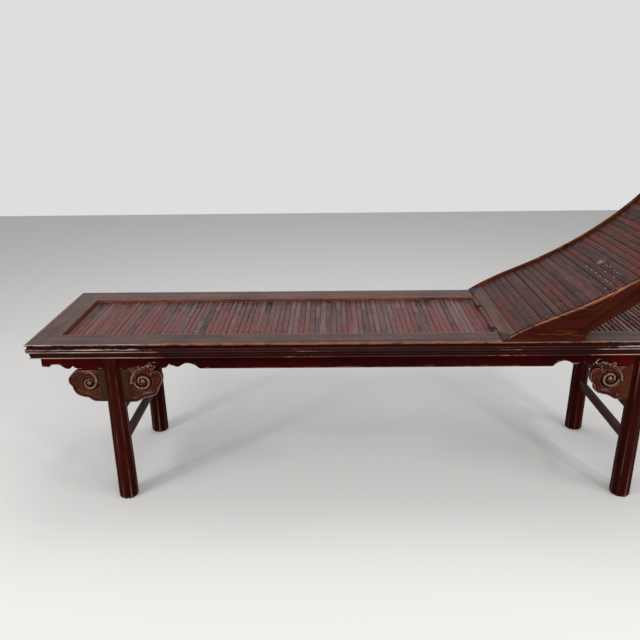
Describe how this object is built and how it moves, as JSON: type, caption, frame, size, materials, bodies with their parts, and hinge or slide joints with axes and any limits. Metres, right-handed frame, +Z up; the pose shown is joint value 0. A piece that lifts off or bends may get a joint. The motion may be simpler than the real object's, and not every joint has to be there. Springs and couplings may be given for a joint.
{
  "type": "folding reclining bench",
  "caption": "Long lacquered wooden day bench with bamboo slats, carved cloud spandrels and a curved slatted backrest that folds down over the seat.",
  "frame": {"origin": "on the floor, at the middle of the bench's length and depth", "axes": "+X along the bench from the foot end to the head end, +Y to the rear, +Z up; the front faces -Y"},
  "size_m": [1.87, 0.448, 0.8692],
  "materials": {
    "rail_lacquer": "old dark purple-brown lacquer, worn to orange-brown wood along the edges",
    "bamboo": "bamboo slats under reddish-purple lacquer, patchy and satin",
    "hidden_wood": "unlacquered softwood, dull",
    "apron_lacquer": "deep oxblood lacquer, glossy",
    "carved_lacquer": "carved wood, red-brown lacquer rubbed to olive-brown on the high spots",
    "leg_lacquer": "deep oxblood lacquer, glossy",
    "board_lacquer": "thin warm red-brown lacquer over visible grain, pale worn upper edge",
    "crossbar_lacquer": "brown-olive lacquer, rubbed and satin",
    "iron": "blackened forged iron"
  },
  "bodies": {
    "bench": {"front_rail": "rail_lacquer", "rear_rail": "rail_lacquer", "foot_end_rail": "rail_lacquer", "head_end_rail": "rail_lacquer", "seat_slats": "bamboo", "head_slats": "bamboo", "deck_brace_1": "hidden_wood", "deck_brace_2": "hidden_wood", "deck_brace_3": "hidden_wood", "deck_brace_4": "hidden_wood", "hinge_rail": "hidden_wood", "front_apron": "apron_lacquer", "rear_apron": "apron_lacquer", "foot_end_apron": "apron_lacquer", "head_end_apron": "apron_lacquer", "foot_front_inner_spandrel": "carved_lacquer", "foot_front_outer_spandrel": "carved_lacquer", "foot_rear_inner_spandrel": "carved_lacquer", "foot_rear_outer_spandrel": "carved_lacquer", "head_front_inner_spandrel": "carved_lacquer", "head_front_outer_spandrel": "carved_lacquer", "head_rear_inner_spandrel": "carved_lacquer", "head_rear_outer_spandrel": "carved_lacquer", "foot_front_leg": "leg_lacquer", "foot_rear_leg": "leg_lacquer", "head_front_leg": "leg_lacquer", "head_rear_leg": "leg_lacquer", "foot_upper_stretcher": "leg_lacquer", "foot_lower_stretcher": "leg_lacquer", "head_upper_stretcher": "leg_lacquer", "head_lower_stretcher": "leg_lacquer", "front_hinge_fixed_leaf": "iron", "rear_hinge_fixed_leaf": "iron", "front_hinge_pin": "iron", "rear_hinge_pin": "iron"},
    "back": {"front_side_board": "board_lacquer", "rear_side_board": "board_lacquer", "back_bottom_rail": "crossbar_lacquer", "back_crest_rail": "crossbar_lacquer", "back_slats": "bamboo", "back_lower_brace": "hidden_wood", "back_upper_brace": "hidden_wood", "front_hinge_moving_leaf": "iron", "rear_hinge_moving_leaf": "iron"}
  },
  "joints": [
    {"name": "back_fold", "type": "hinge", "parent": "bench", "child": "back", "pos_m": [0.327, 0, 0.4913], "axis": [0, -1, 0], "range_deg": [0, 142]}
  ]
}
